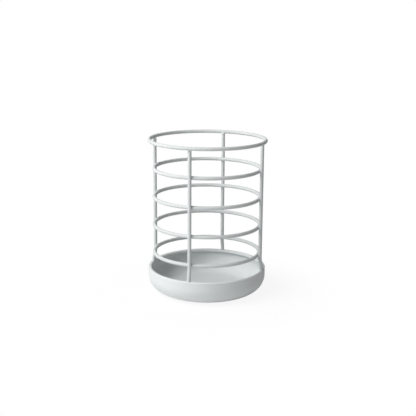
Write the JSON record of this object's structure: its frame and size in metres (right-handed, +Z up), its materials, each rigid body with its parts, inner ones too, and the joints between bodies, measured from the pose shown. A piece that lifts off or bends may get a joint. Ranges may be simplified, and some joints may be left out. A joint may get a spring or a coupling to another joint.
{
  "type": "utensil holder",
  "caption": "Free-standing open wire holder: level hoops welded inside uprights that stand on a shallow round drip tray with a rolled rim.",
  "frame": {"origin": "the point on the worktop under the middle of the tray", "axes": "+Z up along the holder's axis; the uprights stand on the -Y (front), +X (right), +Y (back) and -X (left) sides"},
  "size_m": [0.13, 0.13, 0.171],
  "materials": {
    "coated_sheet": "pale cool grey powder coat on pressed steel sheet, satin-matt",
    "coated_wire": "pale cool grey powder coat on round steel wire, satin-matt",
    "bare_wire": "bare drawn steel wire, hidden inside the rolled rim",
    "pad": "soft translucent grey non-slip pad, matt"
  },
  "bodies": {
    "root": {"tray_dish": "coated_sheet", "rim_wire": "bare_wire", "hoop_1": "coated_wire", "hoop_2": "coated_wire", "hoop_3": "coated_wire", "hoop_4": "coated_wire", "top_hoop": "coated_wire", "upright_front": "coated_wire", "upright_right": "coated_wire", "upright_back": "coated_wire", "upright_left": "coated_wire", "foot_pad_front": "pad", "foot_pad_right": "pad", "foot_pad_back": "pad", "foot_pad_left": "pad"}
  },
  "joints": []
}
